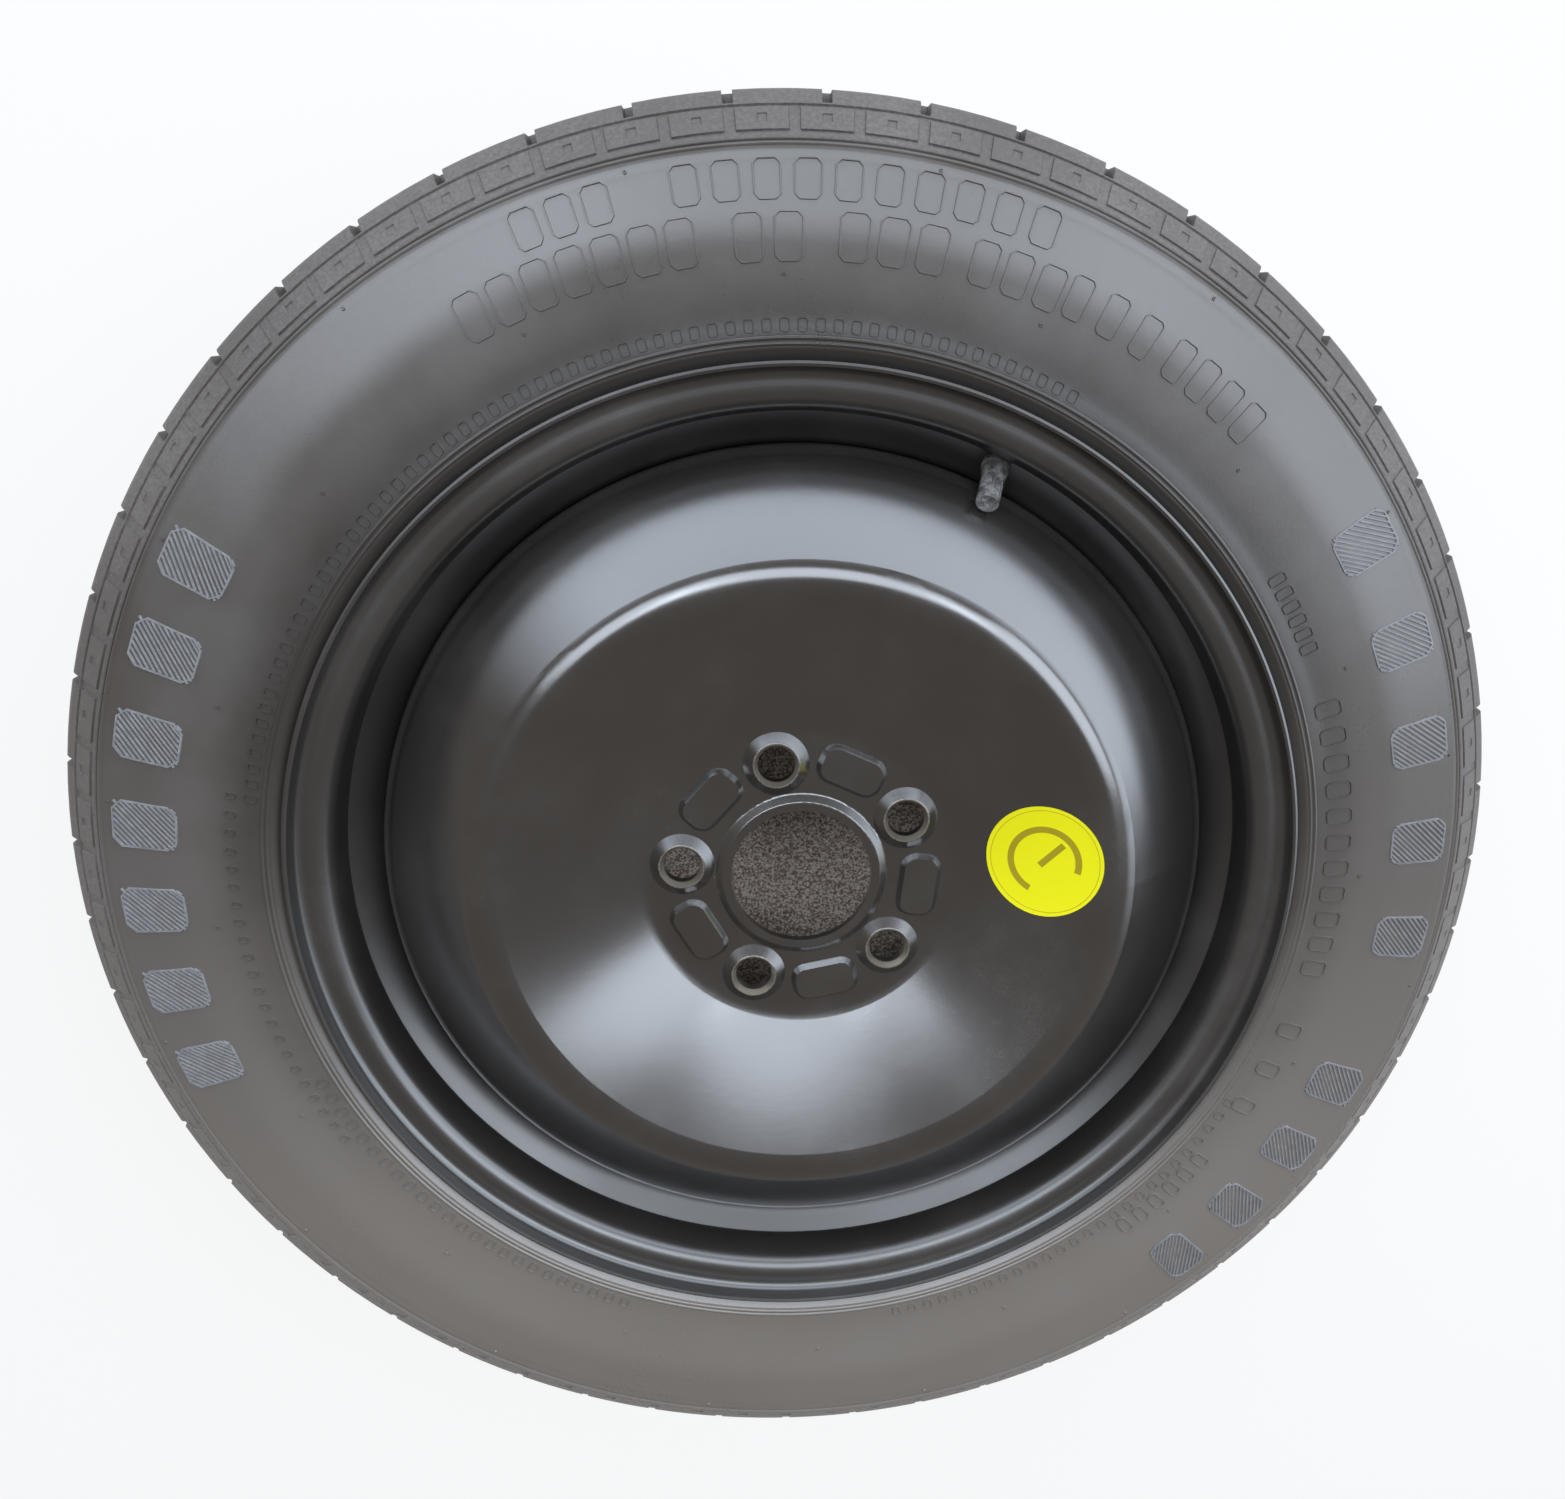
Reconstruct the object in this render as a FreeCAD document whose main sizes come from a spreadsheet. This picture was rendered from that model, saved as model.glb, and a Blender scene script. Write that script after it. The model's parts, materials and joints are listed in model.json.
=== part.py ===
import FreeCAD, Part
import math
import os
import Sketcher

# Temporary-use car wheel lying face up: rolled steel rim, pressed steel disc, tyre and snap-in valve.
# Millimetres and degrees. The origin is the centre of the hub mounting face.
# +Z is the wheel axis, towards the outer face.

DRIVING_SIZES = {
    # wheel layout
    "wheel_offset": 29.0,           # rim mid-plane to hub mounting face
    "bead_half_width": 50.8,        # rim mid-plane to the upright face of a flange
    "seat_radius": 202.8,           # bead seat at the flange
    "flange_height": 14.1,          # above the bead seat
    # rim sheet
    "rim_wall": 2.0,
    "flange_curl": 10.3,            # axial reach of the curled flange
    "curl_rounding": 6.5,
    "heel_rounding": 6.5,
    "seat_taper": 5.0,
    "seat_width": 17.8,
    "seat_rounding": 3.0,
    "hump_rise": 0.8,               # above the bead seat at the flange
    "hump_half_width": 29.4,
    "hump_rounding": 2.8,
    "well_depth": 14.8,             # below the hump
    "well_half_width": 16.6,
    "well_rounding": 6.0,
    # disc sheet
    "disc_wall": 4.0,
    "bore_radius": 31.7,
    "collar_rise": 2.5,
    "collar_top_radius": 35.4,
    "collar_foot_radius": 39.0,
    "collar_rounding": 1.6,
    "hub_pad_radius": 70.0,
    "hub_pad_rounding": 18.0,
    "crest_inset": 49.15,           # from the edge of the disc
    "crest_height": 38.0,
    "crest_rounding": 15.0,
    "dome_foot_height": 1.8,
    "dome_foot_rounding": 17.0,
    "disc_flange_length": 34.0,     # below the hub mounting face
    "disc_fit": 0.15,
    # bolt bosses and stiffening pads of the hub
    "bolt_circle_radius": 54.0,
    "bolt_count": 5,
    "first_bolt_angle": 100.0,
    "bolt_hole_radius": 8.3,
    "boss_foot_radius": 14.6,
    "boss_top_radius": 10.3,
    "boss_rise": 3.6,
    "boss_rounding": 0.9,
    "seat_top_radius": 9.7,
    "seat_cone_angle": 30.0,
    "pad_length": 31.0,
    "pad_width": 19.0,
    "pad_corner": 7.5,
    "pad_rise": 2.6,
    "pad_draft": 38.0,
    "pad_hollow_margin": 4.6,
    "pad_hollow_depth": 1.8,
    # weld beads
    "weld_count": 8,
    "weld_span": 24.0,
    "weld_leg": 4.5,
    "weld_gap": 0.05,
    # tyre section
    "tyre_radius": 309.5,
    "tyre_half_width": 63.5,
    "widest_share": 0.5548,         # of the section height, from the bead seat
    "crown_inset": 20.5,            # from the tread edge
    "crown_rounding": 90.0,
    "tread_inset": 17.0,            # from the widest place
    "tread_edge_drop": 1.9,
    "tread_edge_rounding": 8.0,
    "shoulder_drop_share": 0.2015,  # of the section height, from the tread
    "shoulder_inset": 2.3,          # from the widest place
    "shoulder_rounding": 25.0,
    "sidewall_curve_share": 0.8435,  # rounding in section heights
    "lip_rise": 3.9,                # above the rim flange
    "lip_half_width": 61.0,
    "lip_rounding": 1.6,
    "crevice_half_width": 57.8,
    "bead_clearance": 0.2,
    "bead_width": 17.4,
    "toe_rounding": 0.8,
    "liner_rise": 8.5,
    "liner_step": 3.0,
    "liner_rounding": 6.0,
    "knee_rise": 8.0,               # above the lip
    "knee_thickness": 12.5,
    "knee_rounding": 20.0,
    "sidewall_thickness": 8.5,
    "liner_side_rounding": 50.0,
    "crown_thickness": 12.0,
    "liner_crown_inset": 6.5,       # from the tread edge
    "liner_crown_rounding": 18.0,
    # tread
    "groove_width": 6.0,
    "groove_depth": 5.0,
    "groove_spacing": 24.0,
    "slot_count": 54,
    "slot_width": 3.6,
    "slot_inset": 12.5,             # from the tread edge
    "slot_depth": 5.4,
    "cut_margin": 3.0,
    # valve place, on the outer wall of the well
    "valve_angle": 64.0,
    "valve_hole_radius": 5.65,
    "valve_seat_share": 0.415,      # place between hump and well corner
    # valve body, from the visible side of the rim wall
    "valve_clearance": 0.15,
    "valve_base_radius": 9.5,
    "valve_base_foot_radius": 7.6,
    "valve_base_height": 3.4,
    "valve_base_depth": 9.0,
    "valve_collar_radius": 6.0,
    "valve_collar_height": 2.4,
    "valve_neck_radius": 5.5,
    "valve_neck_height": 4.2,
    "valve_tip_radius": 4.7,
    "valve_tip_height": 11.6,
    "valve_edge": 0.3,
    # valve stem
    "stem_bond": 0.03,
    "stem_radius": 2.95,
    "stem_thread_radius": 3.85,
    "stem_top": 20.6,
    "stem_chamfer": 0.5,
    "stem_bore_radius": 2.0,
    "chamber_radius": 2.6,
    "chamber_floor": 11.0,
    # valve core
    "core_fit": 0.1,
    "core_top_margin": 0.8,
    "core_tube_radius": 1.5,
    "core_tube_depth": 5.5,
    "core_bore_radius": 1.25,
    "core_eye_radius": 0.68,
    "core_ledge": 0.8,
    "core_bridge": 1.3,
    "gasket_height": 2.0,
    "pin_radius": 0.6,
    "pin_top_margin": 0.3,
    "pin_collar_radius": 1.1,
    "pin_collar_height": 0.6,
    "pin_seal_radius": 1.55,
    "pin_seal_height": 2.0,
    "spring_length": 7.2,
    "spring_turns": 6,
    "spring_wire_radius": 0.16,
    "spring_gap": 0.05,
    # valve cap
    "cap_fit": 0.06,
    "cap_radius": 4.8,
    "cap_gap": 0.3,
    "cap_roof": 1.7,
    "cap_edge": 0.9,
    "cap_groove_radius": 0.45,
    "cap_groove_count": 20,
    "cap_groove_end": 2.2,          # plain band below the roof
    "cap_seal_height": 1.0,
    "cap_seal_radius": 3.4,
    # round speed label on the inner slope of the dome
    "label_radius": 26.3,
    "label_place_radius": 107.3,
    "label_angle": 5.0,
    "label_thickness": 0.2,
    "label_gap": 0.05,
}

SHEET = "dim"
WHOLE_TURN = 360.0


class Size:
    """A number together with the spreadsheet expression that it comes from."""

    def __init__(self, value, text=None):
        self.value = value
        self.text = text or repr(value)

    def _join(self, other, sign, value):
        return Size(value, "(%s %s %s)" % (self.text, sign, other.text))

    def __add__(self, other):
        other = as_size(other)
        return self._join(other, "+", self.value + other.value)

    def __sub__(self, other):
        other = as_size(other)
        return self._join(other, "-", self.value - other.value)

    def __mul__(self, other):
        other = as_size(other)
        return self._join(other, "*", self.value * other.value)

    def __truediv__(self, other):
        other = as_size(other)
        return self._join(other, "/", self.value / other.value)

    def __radd__(self, other):
        return as_size(other) + self

    def __rsub__(self, other):
        return as_size(other) - self

    def __rmul__(self, other):
        return as_size(other) * self

    def __neg__(self):
        return Size(-self.value, "(-%s)" % self.text)

    def tangent(self):
        return Size(math.tan(math.radians(self.value)), "tan(%s * 1 deg)" % self.text)


def as_size(number):
    return number if isinstance(number, Size) else Size(number)


class Sizes:
    """Reads the driving sizes of the sheet by name."""

    def __init__(self, names):
        for name in names:
            setattr(self, name, Size(float(sheet.get(name)), "%s.%s" % (SHEET, name)))


doc = FreeCAD.newDocument("spare_wheel")
sheet = doc.addObject("Spreadsheet::Sheet", SHEET)
for row, (alias, number) in enumerate(DRIVING_SIZES.items(), start=1):
    sheet.set("A%d" % row, alias)
    sheet.set("B%d" % row, str(number))
    sheet.setAlias("B%d" % row, alias)
doc.recompute()
dim = Sizes(DRIVING_SIZES)

ZERO = Size(0.0, "0")
UPRIGHT = FreeCAD.Rotation(FreeCAD.Vector(1, 0, 0), 90)     # sketch plane XY to wheel plane XZ
WHEEL_AXIS = FreeCAD.Vector(0, 0, 1)


def bind(target, path, size):
    target.setExpression(path, size.text)


def fix_point(sketch, geometry, end, x, y):
    for kind, size in (("DistanceX", x), ("DistanceY", y)):
        number = sketch.addConstraint(Sketcher.Constraint(kind, geometry, end, size.value))
        bind(sketch, "Constraints[%d]" % number, size)


def draw(sketch, corners, closed=True):
    """Draws lines through corners (x, y, rounding); a rounding of None leaves a corner sharp."""
    count = len(corners)
    points = [FreeCAD.Vector(x.value, y.value, 0) for x, y, rounding in corners]
    arrive, leave, bends = list(points), list(points), {}
    for i, (x, y, rounding) in enumerate(corners):
        if rounding is None:
            continue
        back = (points[i - 1] - points[i]).normalize()
        ahead = (points[(i + 1) % count] - points[i]).normalize()
        half = back.getAngle(ahead) / 2
        reach = rounding.value / math.tan(half)
        arrive[i] = points[i] + back * reach
        leave[i] = points[i] + ahead * reach
        rise = rounding.value / math.sin(half) - rounding.value
        bends[i] = points[i] + (back + ahead).normalize() * rise
    line_count = count if closed else count - 1
    lines = []
    for i in range(line_count):
        segment = Part.LineSegment(leave[i], arrive[(i + 1) % count])
        lines.append(sketch.addGeometry(segment, False))
    for i, (x, y, rounding) in enumerate(corners):
        if not closed and i == 0:
            fix_point(sketch, lines[0], 1, x, y)
            continue
        if not closed and i == count - 1:
            fix_point(sketch, lines[-1], 2, x, y)
            continue
        before, after = lines[i - 1], lines[i]
        if rounding is None:
            sketch.addConstraint(Sketcher.Constraint("Coincident", before, 2, after, 1))
            fix_point(sketch, after, 1, x, y)
            continue
        arc = sketch.addGeometry(Part.Arc(arrive[i], bends[i], leave[i]), False)
        first = 1 if sketch.getPoint(arc, 1).distanceToPoint(arrive[i]) < \
            sketch.getPoint(arc, 2).distanceToPoint(arrive[i]) else 2
        corner = sketch.addGeometry(Part.Point(points[i]), True)
        sketch.addConstraint(Sketcher.Constraint("Tangent", before, 2, arc, first))
        sketch.addConstraint(Sketcher.Constraint("Tangent", arc, 3 - first, after, 1))
        sketch.addConstraint(Sketcher.Constraint("PointOnObject", corner, 1, before))
        sketch.addConstraint(Sketcher.Constraint("PointOnObject", corner, 1, after))
        fix_point(sketch, corner, 1, x, y)
        number = sketch.addConstraint(Sketcher.Constraint("Radius", arc, rounding.value))
        bind(sketch, "Constraints[%d]" % number, rounding)


def new_body(label):
    body = doc.addObject("PartDesign::Body", label)
    body.Label = label
    return body


def body_sketch(body, name, role="XZ_Plane"):
    plane = [item for item in body.Origin.OriginFeatures if item.Role == role][0]
    sketch = body.newObject("Sketcher::SketchObject", name)
    sketch.AttachmentSupport = [(plane, "")]
    sketch.MapMode = "FlatFace"
    return sketch


def turn(body, sketch, name, kind="PartDesign::Revolution"):
    feature = body.newObject(kind, name)
    feature.Profile = sketch
    feature.ReferenceAxis = (sketch, ["V_Axis"])
    feature.Angle = WHOLE_TURN
    return feature


def turned_body(label, corners):
    """A solid of revolution about its own Z axis."""
    body = new_body(label)
    sketch = body_sketch(body, label + "_section")
    draw(sketch, corners)
    turn(body, sketch, label + "_turned")
    return body


def round_pattern(body, features, name, count):
    pattern = body.newObject("PartDesign::PolarPattern", name)
    pattern.Originals = features
    axis = [item for item in body.Origin.OriginFeatures if item.Role == "Z_Axis"][0]
    pattern.Axis = (axis, [""])
    pattern.Angle = WHOLE_TURN
    bind(pattern, "Occurrences", count)
    body.Tip = pattern
    return pattern


def upright_sketch(name, corners, closed, level=None):
    """A loose sketch in the plane XZ, shifted along Z by a bound level."""
    sketch = doc.addObject("Sketcher::SketchObject", name)
    sketch.Placement = FreeCAD.Placement(FreeCAD.Vector(), UPRIGHT)
    if level is not None:
        bind(sketch, "Placement.Base.z", level)
    draw(sketch, corners, closed)
    return sketch


def revolve(name, profile, angle=None):
    ring = doc.addObject("Part::Revolution", name)
    ring.Source = profile
    ring.Axis = WHEEL_AXIS
    ring.Solid = True
    ring.Angle = WHOLE_TURN
    if angle is not None:
        bind(ring, "Angle", angle)
    return ring


def sheet_ring(name, path, thickness, level=None):
    """Sheet of even thickness on one side of an open path, turned about the wheel axis."""
    sketch = upright_sketch(name + "_path", path, False, level)
    strip = doc.addObject("Part::Offset2D", name + "_strip")
    strip.Source = sketch
    strip.Mode = "Skin"
    strip.Join = "Arc"
    strip.Fill = True
    bind(strip, "Value", thickness)
    return revolve(name + "_ring", strip)


def mirrored(half):
    return [(radius, -across, rounding) for radius, across, rounding in reversed(half)]


# Rim: the bead side of the sheet is drawn from the outer flange to the inner one.
flange_radius = dim.seat_radius + dim.flange_height
hump_radius = dim.seat_radius + dim.hump_rise
well_radius = hump_radius - dim.well_depth
seat_end = dim.bead_half_width - dim.seat_width
seat_end_radius = dim.seat_radius - dim.seat_width * dim.seat_taper.tangent()
rim_half = [
    (flange_radius, dim.bead_half_width + dim.flange_curl, None),
    (flange_radius, dim.bead_half_width, dim.curl_rounding),
    (dim.seat_radius, dim.bead_half_width, dim.heel_rounding),
    (seat_end_radius, seat_end, dim.seat_rounding),
    (hump_radius, dim.hump_half_width, dim.hump_rounding),
    (well_radius, dim.well_half_width, dim.well_rounding),
]


def valve_place(height=0.0):
    """Place on the visible side of the outer well wall, +Z along the valve towards its cap."""
    slope = math.atan2(dim.hump_half_width.value - dim.well_half_width.value, dim.well_depth.value)
    share = dim.valve_seat_share.value
    radius = hump_radius.value - share * dim.well_depth.value
    across = dim.hump_half_width.value + share * (dim.well_half_width.value - dim.hump_half_width.value)
    reach = dim.rim_wall.value + height
    radius -= reach * math.sin(slope)
    level = across + reach * math.cos(slope) - dim.wheel_offset.value
    around = FreeCAD.Rotation(WHEEL_AXIS, dim.valve_angle.value)
    lean = FreeCAD.Rotation(FreeCAD.Vector(0, 1, 0), -math.degrees(slope))
    spot = around.multVec(FreeCAD.Vector(radius, 0, level))
    return FreeCAD.Placement(spot, around.multiply(lean))


def make_rim():
    ring = sheet_ring("rim", rim_half + mirrored(rim_half), -dim.rim_wall, -dim.wheel_offset)
    drill = doc.addObject("Part::Cylinder", "valve_drill")
    bind(drill, "Radius", dim.valve_hole_radius)
    bind(drill, "Height", dim.rim_wall + 2 * dim.cut_margin)
    drill.Placement = valve_place(-dim.rim_wall.value - dim.cut_margin.value)
    rim = doc.addObject("Part::Cut", "rim")
    rim.Label = "rim"
    rim.Base = ring
    rim.Tool = drill
    return rim


# Disc: the front of the sheet is drawn from the bore to the end of the flange in the rim well.
disc_edge_radius = well_radius - dim.rim_wall - dim.disc_fit
crest_radius = disc_edge_radius - dim.crest_inset
collar_top = dim.disc_wall + dim.collar_rise
disc_path = [
    (dim.bore_radius, collar_top, None),
    (dim.collar_top_radius, collar_top, dim.collar_rounding),
    (dim.collar_foot_radius, dim.disc_wall, dim.collar_rounding),
    (dim.hub_pad_radius, dim.disc_wall, dim.hub_pad_rounding),
    (crest_radius, dim.crest_height, dim.crest_rounding),
    (disc_edge_radius, dim.dome_foot_height, dim.dome_foot_rounding),
    (disc_edge_radius, -dim.disc_flange_length, None),
]


def raised_pad(body, name, kind, margin, level, angle):
    """Rounded rectangle with drafted sides on the bolt circle, as a pad or a pocket."""
    sketch = body_sketch(body, name + "_outline", "XY_Plane")
    turned = FreeCAD.Rotation(WHEEL_AXIS, angle)
    sketch.AttachmentOffset = FreeCAD.Placement(FreeCAD.Vector(0, 0, level.value), turned)
    half_width = dim.pad_width / 2 - margin
    half_length = dim.pad_length / 2 - margin
    corner = dim.pad_corner - margin
    near = dim.bolt_circle_radius - half_width
    far = dim.bolt_circle_radius + half_width
    draw(sketch, [(near, -half_length, corner), (far, -half_length, corner),
                  (far, half_length, corner), (near, half_length, corner)])
    feature = body.newObject(kind, name)
    feature.Profile = sketch
    bind(feature, "TaperAngle", -dim.pad_draft)
    return feature


def bolt_sketch(body, name, corners):
    """A section whose upright axis is the axis of the first bolt."""
    sketch = body_sketch(body, name)
    turned = FreeCAD.Rotation(FreeCAD.Vector(0, 1, 0), dim.first_bolt_angle.value)
    spot = turned.multVec(FreeCAD.Vector(dim.bolt_circle_radius.value, 0, 0))
    sketch.AttachmentOffset = FreeCAD.Placement(spot, turned)
    draw(sketch, corners)
    return sketch


def make_disc():
    blank = sheet_ring("disc", disc_path, -dim.disc_wall)
    body = new_body("disc")
    body.BaseFeature = blank
    doc.recompute()

    boss_top = dim.disc_wall + dim.boss_rise
    seat_floor = boss_top - (dim.seat_top_radius - dim.bolt_hole_radius) / dim.seat_cone_angle.tangent()
    flare = dim.seat_top_radius + dim.cut_margin * dim.seat_cone_angle.tangent()
    boss = turn(body, bolt_sketch(body, "boss_section", [
        (ZERO, dim.disc_wall / 2, None),
        (dim.boss_foot_radius, dim.disc_wall / 2, None),
        (dim.boss_foot_radius, dim.disc_wall, None),
        (dim.boss_top_radius, boss_top, dim.boss_rounding),
        (ZERO, boss_top, None),
    ]), "boss")
    hole = turn(body, bolt_sketch(body, "hole_section", [
        (ZERO, -dim.cut_margin, None),
        (dim.bolt_hole_radius, -dim.cut_margin, None),
        (dim.bolt_hole_radius, seat_floor, None),
        (flare, boss_top + dim.cut_margin, None),
        (ZERO, boss_top + dim.cut_margin, None),
    ]), "bolt_hole", "PartDesign::Groove")
    round_pattern(body, [boss, hole], "bolt_places", dim.bolt_count)
    doc.recompute()

    pad_angle = dim.first_bolt_angle.value + WHOLE_TURN / dim.bolt_count.value / 2
    pad = raised_pad(body, "pad", "PartDesign::Pad", ZERO, dim.disc_wall, pad_angle)
    bind(pad, "Length", dim.pad_rise)
    hollow = raised_pad(body, "pad_hollow", "PartDesign::Pocket", dim.pad_hollow_margin, ZERO, pad_angle)
    bind(hollow, "Length", dim.pad_hollow_depth)
    hollow.Reversed = True
    round_pattern(body, [pad, hollow], "pad_places", dim.bolt_count)
    return body


def make_weld_beads():
    """Fillet welds between the end of the disc flange and the rim well, a row of separate runs."""
    wall_radius = well_radius - dim.rim_wall - dim.weld_gap
    top = -dim.disc_flange_length - dim.weld_gap
    runs = []
    for number in range(int(dim.weld_count.value)):
        corners = [(wall_radius, top, None), (wall_radius - dim.weld_leg, top, None),
                   (wall_radius, top - dim.weld_leg, None)]
        section = upright_sketch("weld_section_%d" % number, corners, True)
        run = revolve("weld_run_%d" % number, section, dim.weld_span)
        turned = number * WHOLE_TURN / dim.weld_count.value
        run.Placement = FreeCAD.Placement(FreeCAD.Vector(), FreeCAD.Rotation(WHEEL_AXIS, turned))
        runs.append(run)
    beads = doc.addObject("Part::Compound", "weld_beads")
    beads.Label = "weld_beads"
    beads.Links = runs
    return beads


# Tyre: half of the outer outline from the crown to the bead toe, then half of the liner back up.
bead_radius = dim.seat_radius + dim.bead_clearance
bead_face = dim.bead_half_width - dim.bead_clearance
toe_radius = bead_radius - dim.bead_width * dim.seat_taper.tangent()
toe_half_width = bead_face - dim.bead_width
curl_radius = flange_radius + dim.bead_clearance
tread_edge_radius = dim.tyre_radius - dim.tread_edge_drop
tread_half_width = dim.tyre_half_width - dim.tread_inset
section_height = dim.tyre_radius - dim.seat_radius
shoulder_radius = dim.tyre_radius - section_height * dim.shoulder_drop_share
widest_radius = dim.seat_radius + section_height * dim.widest_share
lip_radius = curl_radius + dim.lip_rise
tyre_outside = [
    (dim.tyre_radius, tread_half_width - dim.crown_inset, dim.crown_rounding),
    (tread_edge_radius, tread_half_width, dim.tread_edge_rounding),
    (shoulder_radius, dim.tyre_half_width - dim.shoulder_inset, dim.shoulder_rounding),
    (widest_radius, dim.tyre_half_width, section_height * dim.sidewall_curve_share),
    (lip_radius, dim.lip_half_width, dim.lip_rounding),
    (curl_radius, dim.crevice_half_width, None),
    (curl_radius, bead_face, dim.curl_rounding + dim.bead_clearance),
    (bead_radius, bead_face, dim.heel_rounding - dim.bead_clearance),
    (toe_radius, toe_half_width, dim.toe_rounding),
]
tyre_liner = [
    (toe_radius + dim.liner_rise, toe_half_width + dim.liner_step, dim.liner_rounding),
    (lip_radius + dim.knee_rise, dim.tyre_half_width - dim.knee_thickness, dim.knee_rounding),
    (widest_radius, dim.tyre_half_width - dim.sidewall_thickness, dim.liner_side_rounding),
    (dim.tyre_radius - dim.crown_thickness, tread_half_width - dim.liner_crown_inset,
     dim.liner_crown_rounding),
]


def make_tyre():
    body = new_body("tyre")
    bind(body, "Placement.Base.z", -dim.wheel_offset)
    section = body_sketch(body, "tyre_section")
    half = tyre_outside + tyre_liner
    draw(section, half + mirrored(half))
    turn(body, section, "casing")

    floor_radius = dim.tyre_radius - dim.groove_depth
    clear_radius = dim.tyre_radius + dim.cut_margin
    rings = body_sketch(body, "groove_section")
    for middle in (-dim.groove_spacing, ZERO, dim.groove_spacing):
        low = middle - dim.groove_width / 2
        high = middle + dim.groove_width / 2
        draw(rings, [(floor_radius, low, None), (clear_radius, low, None),
                     (clear_radius, high, None), (floor_radius, high, None)])
    turn(body, rings, "grooves", "PartDesign::Groove")

    slot_floor = tread_edge_radius - dim.slot_depth
    slot_start = tread_half_width - dim.slot_inset
    slot_half = [
        (clear_radius, slot_start, None),
        (slot_floor, slot_start, None),
        (slot_floor, dim.tyre_half_width, None),
        (clear_radius, dim.tyre_half_width, None),
    ]
    half_pitch = WHOLE_TURN / dim.slot_count.value / 2
    for name, corners, shift in (("outer_slot", slot_half, 0.0),
                                 ("inner_slot", mirrored(slot_half), half_pitch)):
        outline = body_sketch(body, name + "_outline")
        turned = FreeCAD.Rotation(FreeCAD.Vector(0, 1, 0), shift)
        outline.AttachmentOffset = FreeCAD.Placement(FreeCAD.Vector(), turned)
        draw(outline, corners)
        slot = body.newObject("PartDesign::Pocket", name)
        slot.Profile = outline
        slot.Midplane = True
        bind(slot, "Length", dim.slot_width)
        round_pattern(body, [slot], name + "s", dim.slot_count)
    return body


# Valve: every piece is turned about the valve axis, from the visible side of the rim wall outwards.
stem_hole = dim.stem_radius + dim.stem_bond
base_top = -dim.rim_wall - dim.valve_clearance
hole_fit = dim.valve_hole_radius - dim.valve_clearance
core_top = dim.stem_top - dim.core_top_margin
gasket_floor = dim.chamber_floor + dim.core_fit
gasket_top = gasket_floor + dim.gasket_height
plug_floor = gasket_top + dim.core_fit
ledge_top = dim.core_tube_depth + dim.core_ledge
collar_floor = ledge_top + dim.spring_length + 2 * dim.spring_gap
cap_floor = dim.valve_tip_height + dim.cap_gap
seal_floor = dim.stem_top + dim.cap_gap
cap_ceiling = seal_floor + dim.cap_seal_height + dim.core_fit


def make_valve_body():
    return turned_body("valve_body", [
        (stem_hole, -dim.valve_base_depth, None),
        (dim.valve_base_foot_radius, -dim.valve_base_depth, dim.valve_edge),
        (dim.valve_base_radius, base_top - dim.valve_base_height, dim.valve_edge),
        (dim.valve_base_radius, base_top, dim.valve_edge),
        (hole_fit, base_top, None),
        (hole_fit, dim.valve_clearance, None),
        (dim.valve_collar_radius, dim.valve_clearance, dim.valve_edge),
        (dim.valve_collar_radius, dim.valve_collar_height, dim.valve_edge),
        (dim.valve_neck_radius, dim.valve_neck_height, dim.valve_edge),
        (dim.valve_tip_radius, dim.valve_tip_height, dim.valve_edge),
        (stem_hole, dim.valve_tip_height, None),
    ])


def make_valve_stem():
    thread_floor = dim.valve_tip_height + dim.stem_bond
    return turned_body("valve_stem", [
        (dim.stem_bore_radius, -dim.valve_base_depth, None),
        (dim.stem_radius, -dim.valve_base_depth, None),
        (dim.stem_radius, thread_floor, None),
        (dim.stem_thread_radius, thread_floor, None),
        (dim.stem_thread_radius, dim.stem_top - dim.stem_chamfer, None),
        (dim.stem_thread_radius - dim.stem_chamfer, dim.stem_top, None),
        (dim.chamber_radius, dim.stem_top, None),
        (dim.chamber_radius, dim.chamber_floor, None),
        (dim.stem_bore_radius, dim.chamber_floor, None),
    ])


def make_core_barrel():
    plug_radius = dim.chamber_radius - dim.core_fit
    bridge_floor = core_top - dim.core_bridge
    return turned_body("core_barrel", [
        (dim.core_eye_radius, dim.core_tube_depth, None),
        (dim.core_tube_radius, dim.core_tube_depth, None),
        (dim.core_tube_radius, plug_floor, None),
        (plug_radius, plug_floor, None),
        (plug_radius, core_top, None),
        (dim.core_eye_radius, core_top, None),
        (dim.core_eye_radius, bridge_floor, None),
        (dim.core_bore_radius, bridge_floor, None),
        (dim.core_bore_radius, ledge_top, None),
        (dim.core_eye_radius, ledge_top, None),
    ])


def make_core_gasket():
    inside = dim.core_tube_radius + dim.core_fit
    outside = dim.chamber_radius - dim.core_fit
    return turned_body("core_gasket", [
        (inside, gasket_floor, None),
        (outside, gasket_floor, None),
        (outside, gasket_top, None),
        (inside, gasket_top, None),
    ])


def make_core_pin():
    pin_foot = dim.core_tube_depth - dim.core_fit - dim.pin_seal_height
    return turned_body("core_pin", [
        (ZERO, pin_foot, None),
        (dim.pin_radius, pin_foot, None),
        (dim.pin_radius, collar_floor, None),
        (dim.pin_collar_radius, collar_floor, None),
        (dim.pin_collar_radius, collar_floor + dim.pin_collar_height, None),
        (dim.pin_radius, collar_floor + dim.pin_collar_height, None),
        (dim.pin_radius, dim.stem_top - dim.pin_top_margin, None),
        (ZERO, dim.stem_top - dim.pin_top_margin, None),
    ])


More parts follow.
